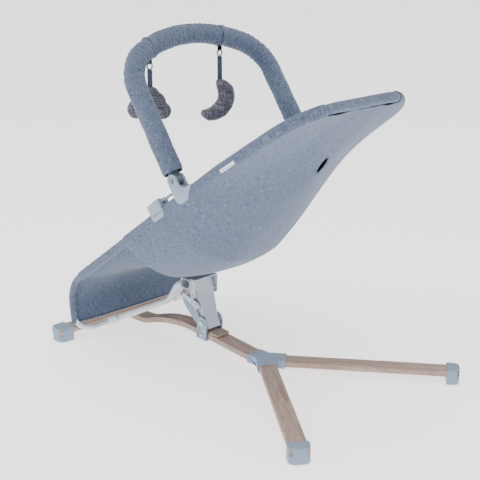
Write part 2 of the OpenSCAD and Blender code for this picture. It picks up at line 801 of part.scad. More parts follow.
// a loop round the padded bar with a short tail, sewn into a small eye that carries the ring
module toy_strap(x, width, tail) {
    at = hang(x);
    color("#8b8794") translate([x, at.y, at.z]) {
        rotate([bar_lean, 0, 0]) rotate([0, asin(x / crown_r), 0]) rotate([0, 90, 0]) difference() {
            cylinder(h = width, r = cover_r + 3.2, center = true);
            cylinder(h = width + 2, r = cover_r + 1.7, center = true);
        }
        translate([-width / 2, -0.8, -cover_r - tail]) cube([width, 1.6, tail - 2.9]);
        translate([0, 0, 6 - ring_drop]) rotate([0, 90, 0]) difference() {
            cylinder(h = 4, r = 2.8, center = true);
            cylinder(h = 6, r = 2, center = true);
        }
    }
}

// where the ring hangs below the bar
ring_drop = 33;
module toy_ring(x) {
    at = hang(x);
    color("#8b8794") translate([x, at.y, at.z - ring_drop]) rotate([90, 0, 0])
        rotate_extrude() translate([6, 0]) circle(r = 1.3);
}

module toy_link(x, bottom) {
    at = hang(x);
    translate([x - 4, at.y - 0.8, at.z - bottom]) cube([8, 1.6, bottom - ring_drop - 7.4]);
}

module cloud_strap() {
    toy_strap(cloud_x, 12, ring_drop - cover_r - 8.4);
}

module cloud_ring() {
    toy_ring(cloud_x);
}

cloud_drop = 68;
module toy_cloud() {
    at = hang(cloud_x);
    color("#55566a") {
        toy_link(cloud_x, cloud_drop);
        translate([cloud_x, at.y, at.z - cloud_drop - 36]) rotate([0, 0, -44]) rotate([90, 0, 0])
            translate([0, 0, -12]) linear_extrude(24) union() {
                translate([-22, -10]) circle(r = 17);
                translate([0, 6]) circle(r = 31);
                translate([25, -7]) circle(r = 20);
                translate([-22, -27]) square([47, 20]);
            }
    }
}

module moon_strap() {
    toy_strap(moon_x, 12, ring_drop - cover_r - 8.4);
}

module moon_ring() {
    toy_ring(moon_x);
}

moon_drop = 72;
module toy_moon() {
    at = hang(moon_x);
    color("#55566a") {
        toy_link(moon_x, moon_drop);
        translate([moon_x, at.y, at.z - moon_drop - 45]) rotate([0, 0, -44]) rotate([90, 0, 0])
            translate([0, 0, -11]) linear_extrude(22) difference() {
                translate([-14, 2]) circle(r = 48);
                translate([-40, 16]) circle(r = 42);
            }
    }
}

module placed() {
    translate([0, origin_y, 0]) children();
}

placed() front_crossbar();
placed() centre_beam();
placed() rear_leg(1);  // rear_leg_left
placed() rear_leg(-1);  // rear_leg_right
placed() rear_junction();
placed() front_foot_cap(1);  // front_foot_cap_left
placed() front_foot_cap(-1);  // front_foot_cap_right
placed() rear_foot_cap(1);  // rear_foot_cap_left
placed() rear_foot_cap(-1);  // rear_foot_cap_right
placed() foot_pads();
placed() crossbar_screws();
placed() junction_screws();
placed() saddle_bracket();
placed() saddle_screws();
placed() saddle_pad();
placed() plate_of(1);  // side_plate_left
placed() plate_of(-1);  // side_plate_right
placed() main_pin();
placed() rear_strut();
placed() carrier_tube();
placed() top_pin();
placed() clamp_bolt();
placed() lock_lever(1);  // lock_lever_left
placed() lock_lever(-1);  // lock_lever_right
placed() seat_hub();
placed() rubber_bush();
placed() centre_tube(1);  // centre_tube_left
placed() centre_tube(-1);  // centre_tube_right
placed() tube_collar(1);  // tube_collar_left
placed() tube_collar(-1);  // tube_collar_right
placed() leg_rod(1);  // leg_rod_left
placed() leg_rod(-1);  // leg_rod_right
placed() rod_sleeve(1);  // rod_sleeve_left
placed() rod_sleeve(-1);  // rod_sleeve_right
placed() rim_tube();
placed() sling();
placed() leg_panel();
placed() bar_bracket(1);  // bar_bracket_left
placed() bar_bracket(-1);  // bar_bracket_right
placed() bar_pin(1);  // bar_pin_left
placed() bar_pin(-1);  // bar_pin_right
placed() bar_end(1);  // bar_end_left
placed() bar_end(-1);  // bar_end_right
placed() bar_tube();
placed() bar_cover();
placed() side_clip(1);  // side_clip_left
placed() side_clip(-1);  // side_clip_right
placed() clip_lever(1);  // clip_lever_left
placed() clip_lever(-1);  // clip_lever_right
placed() crotch_strap();
placed() waist_strap(1);  // waist_strap_left
placed() waist_strap(-1);  // waist_strap_right
placed() buckle_body();
placed() buckle_button();
placed() cloud_strap();
placed() cloud_ring();
placed() toy_cloud();
placed() moon_strap();
placed() moon_ring();
placed() toy_moon();
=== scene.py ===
# %% [markdown]
# # A baby bouncer seat
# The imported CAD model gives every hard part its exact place. This script adds the cloth and
# padding around it and gives each surface a finish. Everything is in metres; +Y is the head
# end, +X the sitting child's left, and the floor is z = 0.

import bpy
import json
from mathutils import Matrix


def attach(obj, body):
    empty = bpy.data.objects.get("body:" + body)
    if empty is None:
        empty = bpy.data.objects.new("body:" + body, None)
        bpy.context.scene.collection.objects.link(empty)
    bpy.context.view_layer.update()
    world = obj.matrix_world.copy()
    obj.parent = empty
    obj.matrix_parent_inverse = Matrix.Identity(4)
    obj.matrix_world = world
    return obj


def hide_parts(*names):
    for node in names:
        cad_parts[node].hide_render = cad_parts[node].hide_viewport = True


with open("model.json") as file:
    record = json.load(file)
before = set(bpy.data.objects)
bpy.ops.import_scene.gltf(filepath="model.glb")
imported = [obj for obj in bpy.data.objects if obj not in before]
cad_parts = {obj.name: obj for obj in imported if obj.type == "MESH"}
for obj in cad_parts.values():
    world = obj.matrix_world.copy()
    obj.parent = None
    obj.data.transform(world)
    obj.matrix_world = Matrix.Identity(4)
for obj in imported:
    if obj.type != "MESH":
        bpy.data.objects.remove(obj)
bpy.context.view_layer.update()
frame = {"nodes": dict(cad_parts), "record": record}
nodes = frame["nodes"]

# %% Names used all through
import json
import math

import bmesh
import bpy
from mathutils import Matrix, Vector, noise

MM = 0.001
scene = bpy.context.scene
sin, cos, pi = math.sin, math.cos, math.pi

# %% [markdown]
# ## Camera
# A long lens keeps the seat's lines nearly parallel. The camera stands behind the seat on the
# child's left, a little above the head end, and looks at the middle of the object.

# %% Camera
eye = Vector((1.3100, 1.3148, 0.8292))
aim = Vector((0.0, -0.01128, 0.24617))
camera_data = bpy.data.cameras.new("camera")
camera_data.lens = 77.59
camera_data.sensor_width = 36.0
camera_data.clip_end = 100.0
camera = bpy.data.objects.new("camera", camera_data)
camera.location = eye
camera.rotation_euler = (aim - eye).to_track_quat("-Z", "Y").to_euler()
scene.collection.objects.link(camera)
scene.camera = camera
print("camera distance", round((aim - eye).length, 3))

# %% [markdown]
# ## Light
# Furniture is usually shown under very large soft lamps in a white room, so shadows are faint
# and only gather where the object touches the floor. The white world does most of the work, and
# three area lamps give the cloth its shape.

# %% World and lamps
world = bpy.data.worlds.new("white_room")
scene.world = world
world.use_nodes = True
world.node_tree.nodes["Background"].inputs["Color"].default_value = (1.0, 1.0, 1.0, 1.0)
world.node_tree.nodes["Background"].inputs["Strength"].default_value = 0.85
for name, place, size, watts in (
        ("overhead", (0.2, 0.3, 3.0), 2.6, 46.0),
        ("left_window", (2.6, -1.2, 1.9), 1.8, 26.0),
        ("right_fill", (-1.2, 2.8, 1.4), 1.8, 10.0)):
    lamp_data = bpy.data.lights.new(name, "AREA")
    lamp_data.size = size
    lamp_data.energy = watts
    lamp = bpy.data.objects.new(name, lamp_data)
    lamp.location = place
    lamp.rotation_euler = (Vector((0, 0, 0.25)) - Vector(place)).to_track_quat("-Z", "Y").to_euler()
    scene.collection.objects.link(lamp)

# %% [markdown]
# ## Materials
# One function turns hex colours, as a paint chart gives them, into the linear values that a
# shader works with. Another adds a node with its settings and its links. Each material then
# starts from what the real surface is.

# %% Colour, node and material helpers
def linear(code):
    """The linear RGBA of an sRGB hex colour such as '#8a9bb0'."""
    out = []
    for start in (1, 3, 5):
        value = int(code[start:start + 2], 16) / 255
        out.append(value / 12.92 if value <= 0.04045 else ((value + 0.055) / 1.055) ** 2.4)
    return (*out, 1.0)


def add_node(tree, kind, feeds=None, **settings):
    """Adds a node, sets it up, and fills its sockets with values or with other nodes' outputs."""
    made = tree.nodes.new(kind)
    for key, value in settings.items():
        setattr(made, key, value)
    for socket, value in (feeds or {}).items():
        if isinstance(value, bpy.types.NodeSocket):
            tree.links.new(value, made.inputs[socket])
        else:
            made.inputs[socket].default_value = value
    return made


def new_material(name, **shader_values):
    """A material with its tree and its shader, whose plain values are set here."""
    made = bpy.data.materials.new(name)
    made.use_nodes = True
    tree = made.node_tree
    shader = tree.nodes["Principled BSDF"]
    for socket, value in shader_values.items():
        shader.inputs[socket.replace("_", " ")].default_value = value
    return made, tree, shader


def colour_between(tree, amount, *stops):
    """A colour that runs through hex stops as a texture's value rises."""
    ramp = add_node(tree, "ShaderNodeValToRGB", {"Fac": amount})
    while len(ramp.color_ramp.elements) < len(stops):
        ramp.color_ramp.elements.new(0.5)
    for element, (place, code) in zip(ramp.color_ramp.elements, stops):
        element.position = place
        element.color = linear(code)
    return ramp.outputs["Color"]


# %% [markdown]
# ### Moulded plastic and painted steel
# Glass-filled nylon caps come out of a finely sparked mould, and powder coat cures to a soft
# orange peel. Both are one colour with a faint cloudiness, and their sharp edges get a painted
# highlight: a lighter colour there. The noise is far finer than a cap is wide.

# %% Plastic and painted steel
def coated(name, light, dark, rough, grain, depth, metal=0.0):
    made, tree, shader = new_material(name, Metallic=metal, IOR=1.5)
    where = add_node(tree, "ShaderNodeTexCoord").outputs["Object"]
    cloud = add_node(tree, "ShaderNodeTexNoise", {"Vector": where, "Scale": 22.0, "Detail": 4.0})
    fine = add_node(tree, "ShaderNodeTexNoise", {"Vector": where, "Scale": 1 / grain, "Detail": 2.0})
    # Painted highlight: convex edges, where pointiness is high, get an 18% lighter colour.
    edge = add_node(tree, "ShaderNodeNewGeometry").outputs["Pointiness"]
    edge_highlight = add_node(tree, "ShaderNodeMapRange", {"Value": edge, "From Min": 0.53, "From Max": 0.62})
    base = colour_between(tree, cloud.outputs["Fac"], (0.3, dark), (0.7, light))
    mixed = add_node(tree, "ShaderNodeMix", {"Factor": edge_highlight.outputs["Result"]}, data_type="RGBA")
    tree.links.new(base, mixed.inputs["A"])
    mixed.inputs["B"].default_value = [min(1, channel * 1.18) for channel in linear(light)]
    tree.links.new(mixed.outputs["Result"], shader.inputs["Base Color"])
    gloss = add_node(tree, "ShaderNodeMapRange", {"Value": cloud.outputs["Fac"], "To Min": rough - 0.06,
                                                  "To Max": rough + 0.08})
    tree.links.new(gloss.outputs["Result"], shader.inputs["Roughness"])
    bump = add_node(tree, "ShaderNodeBump", {"Height": fine.outputs["Fac"], "Strength": 0.25,
                                             "Distance": depth})
    tree.links.new(bump.outputs["Normal"], shader.inputs["Normal"])
    return made


finishes = {
    "blue_grey_plastic": coated("moulded_nylon_blue_grey", "#8798ab", "#7f90a3", 0.5, 0.0012, 0.00012),
    "bracket_plastic": coated("moulded_nylon_light_blue", "#93a3b4", "#8a9aac", 0.46, 0.0012, 0.0001),
    "dark_plastic": coated("moulded_nylon_slate", "#5b6470", "#525b67", 0.5, 0.0012, 0.0001),
    "white_plastic": coated("moulded_acetal_white", "#e6e9ef", "#dde1e8", 0.35, 0.0015, 0.00005),
    "blue_grey_steel": coated("powder_coat_blue_grey", "#8a9aab", "#8292a3", 0.4, 0.0016, 0.00012, 0.1),
    "light_grey_steel": coated("powder_coat_light_grey", "#adb5bf", "#a3abb6", 0.38, 0.0016, 0.00012, 0.2),
    "lever_steel": coated("powder_coat_pale", "#c3c9d1", "#b9c0c9", 0.34, 0.0016, 0.0001, 0.2),
    "white_steel": coated("powder_coat_white", "#e2e6ee", "#d9dee7", 0.3, 0.0016, 0.00008),
    "dark_steel": coated("blackened_steel", "#6d7480", "#5c636f", 0.35, 0.0010, 0.00005, 0.8),
    "zinc_steel": coated("zinc_plated_steel", "#b9bec6", "#a5abb4", 0.3, 0.0008, 0.00005, 0.9),
    "grip_rubber": coated("nitrile_rubber_grey", "#5b6470", "#4f5763", 0.75, 0.0009, 0.0002),
    "bumper_rubber": coated("neoprene_grey", "#8d8176", "#7f746a", 0.8, 0.0009, 0.0002),
}


# %% [markdown]
# ### Beech
# Steamed beech is pinkish, and here a whitewashed matt lacquer greys it. Its grain is straight,
# with short dark flecks along it. The pattern is stretched along each bar, so every bar has its
# own turn. Real pores are under 0.2 mm; they are drawn about 1 mm wide so that they show.

# %% Beech
def beech(name, turn):
    made, tree, shader = new_material(name, Roughness=0.55, IOR=1.5)
    where = add_node(tree, "ShaderNodeTexCoord").outputs["Object"]
    turned = add_node(tree, "ShaderNodeMapping", {"Vector": where, "Rotation": (0, 0, turn)})
    long = add_node(tree, "ShaderNodeMapping", {"Vector": turned.outputs["Vector"],
                                                "Scale": (70.0, 5.0, 60.0)})
    fleck = add_node(tree, "ShaderNodeMapping", {"Vector": turned.outputs["Vector"],
                                                 "Scale": (900.0, 60.0, 800.0)})
    bands = add_node(tree, "ShaderNodeTexNoise", {"Vector": long.outputs["Vector"], "Scale": 1.6,
                                                  "Detail": 5.0, "Distortion": 0.6})
    pores = add_node(tree, "ShaderNodeTexNoise", {"Vector": fleck.outputs["Vector"], "Scale": 1.0,
                                                  "Detail": 2.0})
    wood = colour_between(tree, bands.outputs["Fac"], (0.30, "#987e70"), (0.46, "#ac9385"),
                          (0.54, "#b8a092"), (0.60, "#a0887a"), (0.72, "#b09789"))
    dots = colour_between(tree, pores.outputs["Fac"], (0.34, "#cfc3ba"), (0.46, "#ffffff"))
    both = add_node(tree, "ShaderNodeMix", {"Factor": 0.75}, data_type="RGBA", blend_type="MULTIPLY")
    tree.links.new(wood, both.inputs["A"])
    tree.links.new(dots, both.inputs["B"])
    tree.links.new(both.outputs["Result"], shader.inputs["Base Color"])
    bump = add_node(tree, "ShaderNodeBump", {"Height": pores.outputs["Fac"], "Strength": 0.3,
                                             "Distance": 0.0002})
    tree.links.new(bump.outputs["Normal"], shader.inputs["Normal"])
    return made


LEG_TURN = math.atan2(219, 289)
wood_of = {
    "front_crossbar": beech("beech_crossbar", pi / 2),
    "centre_beam": beech("beech_centre_beam", 0.0),
    "rear_leg_left": beech("beech_left_leg", LEG_TURN),
    "rear_leg_right": beech("beech_right_leg", -LEG_TURN),
}


# %% [markdown]
# ### Chambray
# The seat cloth is chambray: blue warp threads crossed by paler ones, so from a step away it is a
# soft blue-grey melange with short pale and dark slubs along both threads. Its thread is about
# 0.4 mm; it is drawn 1.3 mm so that it shows. The UV map is in metres, so one pattern scale
# fits every piece. A felted version of it covers the toys.

# %% Cloth
def woven(name, dark, middle, light, thread, depth, fuzz):
    made, tree, shader = new_material(name, Roughness=0.9, IOR=1.45, Sheen_Weight=fuzz,
                                      Sheen_Roughness=0.5, Specular_IOR_Level=0.25)
    where = add_node(tree, "ShaderNodeUVMap", uv_map="cloth").outputs["UV"]
    rate = 1 / thread
    slubs = []
    for stretch in ((rate, rate * 0.09, 1.0), (rate * 0.09, rate, 1.0)):
        across = add_node(tree, "ShaderNodeMapping", {"Vector": where, "Scale": stretch})
        slub = add_node(tree, "ShaderNodeTexNoise", {"Vector": across.outputs["Vector"],
                                                     "Scale": 1.0, "Detail": 3.0})
        slubs.append(slub.outputs["Fac"])
    mix = add_node(tree, "ShaderNodeMath", {0: slubs[0], 1: slubs[1]}, operation="ADD")
    half = add_node(tree, "ShaderNodeMath", {0: mix.outputs["Value"], 1: 0.5}, operation="MULTIPLY")
    colour = colour_between(tree, half.outputs["Value"], (0.38, dark), (0.5, middle), (0.62, light))
    broad = add_node(tree, "ShaderNodeTexNoise", {"Vector": where, "Scale": 9.0, "Detail": 3.0})
    shade = colour_between(tree, broad.outputs["Fac"], (0.3, "#ececf0"), (0.7, "#ffffff"))
    both = add_node(tree, "ShaderNodeMix", {"Factor": 1.0}, data_type="RGBA", blend_type="MULTIPLY")
    tree.links.new(colour, both.inputs["A"])
    tree.links.new(shade, both.inputs["B"])
    tree.links.new(both.outputs["Result"], shader.inputs["Base Color"])
    bump = add_node(tree, "ShaderNodeBump", {"Height": half.outputs["Value"], "Strength": 0.5,
                                             "Distance": depth})
    tree.links.new(bump.outputs["Normal"], shader.inputs["Normal"])
    return made


chambray = woven("woven_chambray", "#4b566b", "#5e6a81", "#77839a", 0.0011, 0.0006, 0.2)
# A copy of the seat chambray made slightly darker: painted shade for the liner and leg panel, whose cloth
# faces down.
chambray_painted_shade = woven("woven_chambray_painted_shade", "#485266", "#5a667b", "#727e93", 0.0011, 0.0006, 0.2)
webbing = woven("woven_webbing", "#3c424e", "#4a505c", "#5a616e", 0.0016, 0.0007, 0.15)
toy_cloth = woven("felted_toy_cloth", "#33343f", "#50515f", "#8b8c98", 0.0017, 0.0012, 0.6)
thread_white, _, thread_shader = new_material("polyester_thread", Roughness=0.6)
thread_shader.inputs["Base Color"].default_value = linear("#9aa5b8")

# %% [markdown]
# ## Shaping helpers
# Cloth that follows a path is a grid whose points are moved by a small function of (u, t): u runs
# across the piece and t along it. The grid also writes its UV map in metres, before it is bent.

# %% Grid pieces and tubes
def keep(bm, name, finish, body, smooth=True):
    """Turns a bmesh into an object of the scene that rides on a body."""
    mesh = bpy.data.meshes.new(name)
    bm.to_mesh(mesh)
    bm.free()
    mesh.materials.append(finish)
    for face in mesh.polygons:
        face.use_smooth = smooth
    made = bpy.data.objects.new(name, mesh)
    scene.collection.objects.link(made)
    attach(made, body)
    return made


def grid(across, along, place, size, ring=False, wall=0.0, hole=None):
    """A bent grid: place(u, t) gives each point, size is its flat width and length."""
    bm = bmesh.new()
    bmesh.ops.create_grid(bm, x_segments=across, y_segments=along, size=0.5)
    cloth = bm.loops.layers.uv.new("cloth")
    for face in bm.faces:
        for loop in face.loops:
            loop[cloth].uv = ((loop.vert.co.x + 0.5) * size[0], (loop.vert.co.y + 0.5) * size[1])
    for vert in bm.verts:
        vert.co = place(vert.co.x + 0.5, vert.co.y + 0.5)
    if ring:
        bmesh.ops.remove_doubles(bm, verts=bm.verts, dist=1e-5)
    if hole:
        cut = [face for face in bm.faces if hole(face.calc_center_median())]
        bmesh.ops.delete(bm, geom=cut, context="FACES")
    if wall:
        bmesh.ops.solidify(bm, geom=bm.faces[:], thickness=wall)
    bmesh.ops.recalc_face_normals(bm, faces=bm.faces)
    return bm


def path_frames(points):
    """(place, ahead, side, up) at each point of a path, turning as little as it can."""
    frames = []
    side = None
    for i, point in enumerate(points):
        ahead = (points[min(i + 1, len(points) - 1)] - points[max(i - 1, 0)]).normalized()
        if side is None:
            side = ahead.orthogonal().normalized()
        side = (side - ahead * side.dot(ahead)).normalized()
        frames.append((point, ahead, side, ahead.cross(side)))
    return frames


def tube(points, radius, around=12):
    """A closed tube of cloth or cord along a path; radius may be a function of t and angle."""
    frames = path_frames(points)
    length = sum((a - b).length for a, b in zip(points, points[1:]))

    def place(u, t):
        spot = t * (len(frames) - 1)
        at, ahead, side, up = frames[min(round(spot), len(frames) - 1)]
        angle = 2 * pi * u
        reach = radius(t, angle) if callable(radius) else radius
        return at + side * (cos(angle) * reach) + up * (sin(angle) * reach)

    bm = grid(around, len(points) - 1, place, (0.05, length), ring=True)
    bmesh.ops.holes_fill(bm, edges=bm.edges, sides=around)
    bmesh.ops.recalc_face_normals(bm, faces=bm.faces)
    return bm


def rounded_path(corners, bends, step):
    """Points every step along straight runs joined by bends of the given radii."""
    points = []
    start = corners[0]
    for i, bend in enumerate(bends):
        before, corner, after = corners[i], corners[i + 1], corners[i + 2]
        into, out = (corner - before).normalized(), (after - corner).normalized()
        turn = into.angle(out)
        lead = bend * math.tan(turn / 2)
        near = corner - into * lead
        count = max(1, round((near - start).length / step))
        points += [start.lerp(near, k / count) for k in range(count)]
        inward = (out - into * out.dot(into)).normalized()
        count = max(2, round(bend * turn / step))
        points += [near + into * (bend * sin(turn * k / count))
                   + inward * (bend * (1 - cos(turn * k / count))) for k in range(count)]
        start = corner + out * lead
    count = max(1, round((corners[-1] - start).length / step))
    return points + [start.lerp(corners[-1], k / count) for k in range(count + 1)]


# %% [markdown]
# ## Stitching
# Each stitch is a short rod of thread with rounded ends, half sunk in the cloth. A row takes a
# path, and every stitch has only a few faces.

# %% Stitch rows
def stitches(name, rows, body, pitch=0.0045, thick=0.00045, finish=None):
    bm = bmesh.new()
    count = 0
    for points in rows:
        travelled = 0.0
        for a, b in zip(points, points[1:]):
            travelled += (b - a).length
            if travelled < pitch:
                continue
            travelled = 0.0
            turn = (b - a).to_track_quat("X", "Z").to_matrix().to_4x4()
            size = Matrix.Diagonal((pitch * 0.34, thick, thick, 1.0))
            bmesh.ops.create_uvsphere(bm, u_segments=6, v_segments=4, radius=1.0,
                                      matrix=Matrix.Translation((a + b) / 2) @ turn @ size)
            count += 1
    made = keep(bm, name, finish or thread_white, body)
    print(name, "has", count, "stitches")
    return made


# %% [markdown]
# ## The seat's lines
# The side rails lie in one sloping plane. A point is named by x across, v along the rails and w
# square to them, with the same numbers as the CAD. Below the knee the leg rods drop to the floor.

# %% Rails, knee and head bow
SLOPE = math.radians(35.2)
CAD_SHIFT = 0.0565455
RAIL_X, RAIL_R, ROD_R = 0.170, 0.008, 0.005
TAPER_V, HEAD_X, RAIL_V, HEAD_R = 0.440, 0.140, 0.638, 0.092
KNEE_V, KNEE_R = -0.0967, 0.072
LEG_DIR = Vector((0, sin(math.radians(7)), -cos(math.radians(7))))
ALONG = Vector((0, cos(SLOPE), sin(SLOPE)))
RISE = Vector((0, -sin(SLOPE), cos(SLOPE)))
ACROSS = Vector((1, 0, 0))


def on_rail(x, v, w):
    return Vector((x, CAD_SHIFT - 0.306, 0.1746)) + ALONG * v + RISE * w


HEAD_TURN = math.atan2(RAIL_X - HEAD_X, RAIL_V - TAPER_V)
BOW_V = RAIL_V - HEAD_R
BOW_X = RAIL_X - (BOW_V + HEAD_R * sin(HEAD_TURN) - TAPER_V) * math.tan(HEAD_TURN) - HEAD_R * cos(HEAD_TURN)


def half_width(v, inset):
    """Half the distance between the rails, less an inset."""
    if v < TAPER_V:
        return RAIL_X - inset
    if v < BOW_V + HEAD_R * sin(HEAD_TURN):
        return RAIL_X - inset - (v - TAPER_V) * math.tan(HEAD_TURN)
    return BOW_X + math.sqrt(max(0.0, (HEAD_R - inset) ** 2 - (v - BOW_V) ** 2))


knee = on_rail(RAIL_X, KNEE_V, 0)
leg_hem = knee + LEG_DIR * ((knee.z - 0.038) / -LEG_DIR.z)
mirror = lambda p: Vector((-p.x, p.y, p.z))
half_corners = [leg_hem, knee, on_rail(RAIL_X, TAPER_V, 0), on_rail(HEAD_X, RAIL_V, 0)]
sleeve_line = rounded_path(half_corners + [mirror(p) for p in reversed(half_corners)],
                           [KNEE_R, 0.4, HEAD_R, HEAD_R, 0.4, KNEE_R], 0.004)
print("sleeve path points", len(sleeve_line))

# %% [markdown]
# ## Sleeve round the rails
# The cloth has a long channel sewn along its edge, and the tube is pushed through it. The channel
# is a little looser than the tube, thinner where it passes over the leg rods, and its radius
# ripples slightly all along.

# %% Rail sleeve
def sleeve_radius(t, angle):
    point = sleeve_line[min(round(t * (len(sleeve_line) - 1)), len(sleeve_line) - 1)]
    v = (point - on_rail(0, 0, 0)).dot(ALONG)
    on_rods = min(1.0, max(0.0, (-0.044 - v) / 0.012))
    base = (RAIL_R + 0.0010) * (1 - on_rods) + (ROD_R + 0.0013) * on_rods
    ripple = noise.noise(Vector((point.x * 40, v * 70, angle * 0.6))) * 0.0004
    return base + ripple


rail_sleeve = keep(tube(sleeve_line, sleeve_radius, around=20), "rail_sleeve", chambray, "seat")

# %% [markdown]
# ## Outer shell
# The outer cloth hangs from the rails like a hammock and carries the child's weight. Its front
# edge sweeps back to the rails. Behind the head it is pulled tight to the two corners of the bow,
# so two creases run from there to a short bound slit in the middle of the back. Each
# cross-section starts on top of the tube, wraps round its outside, leaves it at a tangent and
# dips into the bucket.

# %% Shell surface
DEPTH, DEEPEST_V, SEAT_END = 0.121, 0.255, RAIL_V - RAIL_R - 0.0015
WRAP_R = RAIL_R + 0.0013
WRAP_SHARE = 0.09
SHELL_FRONT, SHELL_SWEEP, SHELL_BACK = 0.139, 0.051, 0.633
NOTCH_V, NOTCH_W = 0.484, 0.054
SLIT_V, SLIT_LONG, SLIT_WIDE = 0.502, 0.019, 0.0085


def ease(value, low, high):
    """0 below low, 1 above high, and a smooth step between them."""
    k = min(1.0, max(0.0, (value - low) / (high - low)))
    return k * k * (3 - 2 * k)


def bucket(v):
    """Depth of the shell's middle below the rails."""
    if v < DEEPEST_V:
        return DEPTH * (0.64 + 0.36 * sin(pi / 2 * (v - 0.060) / (DEEPEST_V - 0.060)))
    if v < NOTCH_V:
        return DEPTH * (1 - (v - DEEPEST_V) / (SEAT_END - DEEPEST_V)) ** 0.85
    k = min(1.0, (v - NOTCH_V) / (SHELL_BACK - NOTCH_V))
    return NOTCH_W * (1 - k) ** 1.15 + 0.0075 * k


def section(e, v):
    """How deep a point is, as a share of the middle: full in the flat between the two creases."""
    crown = max(0.0, v - NOTCH_V) / (RAIL_V - NOTCH_V) * 0.061 / half_width(v, 0)
    share = max(0.0, (abs(e) - crown) / (1 - crown))
    return 1 - share ** (2.6 - 1.25 * ease(v, 0.26, 0.50))


def rim_side(v):
    """The rail's centre at v, with the direction that points outwards from it."""
    here = half_width(v, 0)
    slope = (half_width(v + 0.002, 0) - half_width(v - 0.002, 0)) / 0.004
    out = (ACROSS - ALONG * slope).normalized()
    return on_rail(here, v, 0), out


def shell_point(u, t):
    side = 1 if u >= 0.5 else -1
    s = abs(2 * u - 1)
    v = SHELL_FRONT + (SHELL_BACK - SHELL_FRONT) * t
    centre, out = rim_side(v)
    steep = math.atan(bucket(v) * (2.6 - 1.25 * ease(v, 0.26, 0.50)) / half_width(v, 0))
    leave = -(pi / 2 - steep)
    wrap = max(0.0, (s - 1 + WRAP_SHARE) / WRAP_SHARE)
    if wrap > 0:
        angle = leave + (math.radians(118) - leave) * wrap
        at = centre + out * (WRAP_R * cos(angle)) + RISE * (WRAP_R * sin(angle))
        return Vector((at.x * side, at.y, at.z))
    e = s / (1 - WRAP_SHARE)
    edge = centre + out * (WRAP_R * cos(leave)) + RISE * (WRAP_R * sin(leave)) - on_rail(0, 0, 0)
    v_here = edge.dot(ALONG) - SHELL_SWEEP * (1 - e ** 1.5) * (1 - t) ** 1.6
    w = edge.dot(RISE) * e ** 3 - bucket(v_here) * section(e, v_here)
    soft = noise.noise(Vector((e * side * 2.2, v_here * 9, 0.4))) * 0.0022
    soft += noise.noise(Vector((e * side * 5.0 + 9, v_here * 22, 1.7))) * 0.0009
    w -= soft * (1 - e ** 4)
    return on_rail(edge.x * e * side, v_here, w)


def in_slit(point):
    """True inside the spindle-shaped slit at the middle of the back."""
    away = point - on_rail(0, SLIT_V, 0)
    return (away.dot(ALONG) / SLIT_LONG) ** 2 + (away.x / SLIT_WIDE) ** 2 < 1


shell_length = SHELL_BACK - SHELL_FRONT
shell_bm = grid(150, 190, shell_point, (0.46, shell_length * 1.12), wall=0.0016, hole=in_slit)
seat_shell = keep(shell_bm, "seat_shell", chambray, "seat")
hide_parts("sling")

# %% [markdown]
# ## Hems and seams of the shell
# The front edge and the slit are bound, so they end in a thicker roll. Two rows of stitches run
# below the channel on both sides.

# %% Shell hems
def shell_row(t, lift=0.0):
    return [shell_point(k / 160, t) for k in range(161)]


def slit_line():
    """The closed line round the slit, on the shell's surface."""
    points = []
    for k in range(49):
        angle = 2 * pi * k / 48
        x, v = SLIT_WIDE * sin(angle), SLIT_V + SLIT_LONG * cos(angle)
        w = -bucket(v) * section(x / half_width(v, 0), v) - 0.0006
        points.append(on_rail(x, v, w))
    return points


for name, line, thick in (("shell_front_hem", shell_row(0.0), 0.0017),
                          ("shell_slit_binding", slit_line(), 0.0015)):
    hem = keep(tube(line, thick, around=8), name, chambray, "seat")

side_rows = []
for u in (0.055, 0.070):
    for flip in (u, 1 - u):
        outward = Vector((0.0006 if flip > 0.5 else -0.0006, 0, -0.0002))
        side_rows.append([shell_point(flip, k / 520) + outward for k in range(521)])
stitches("shell_stitches", side_rows, "seat")

# %% [markdown]
# ## Sewn-in tab
# A short folded tape is caught in the channel's seam on each side. On the real seat it carries
# print; here it is blank.

# %% Blank tabs
tape, _, tape_shader = new_material("woven_polyester_tape", Roughness=0.7)
tape_shader.inputs["Base Color"].default_value = linear("#dfe2e8")
for side, name in ((1, "tab_left"), (-1, "tab_right")):
    def tab_place(u, t, side=side):
        rim, out = rim_side(0.452 + 0.034 * t)
        at = rim + out * (WRAP_R + 0.0022 - 0.0012 * u) - RISE * (0.0015 + 0.0062 * u)
        return Vector((at.x * side, at.y, at.z))

    tab = keep(grid(4, 16, tab_place, (0.008, 0.034), wall=0.0007), name, tape, "seat")

# %% [markdown]
# ## Liner and leg panel
# One inner sheet lines the seat from the head to the shins. It lies on the shell in the bucket, is
# shallower behind the head, spans the knee and hangs down the leg rods to a straight hem.

# %% Liner surface
KNEE_TURN = math.acos(LEG_DIR.dot(-ALONG))
KNEE_LEAD = KNEE_R * math.tan(KNEE_TURN / 2)
KNEE_ARC = KNEE_R * KNEE_TURN
LEG_RUN = (knee - leg_hem).length - KNEE_LEAD
LINER_TOP = 0.6275
RAIL_RUN = LINER_TOP - KNEE_V - KNEE_LEAD
LINER_RUN = LEG_RUN + KNEE_ARC + RAIL_RUN


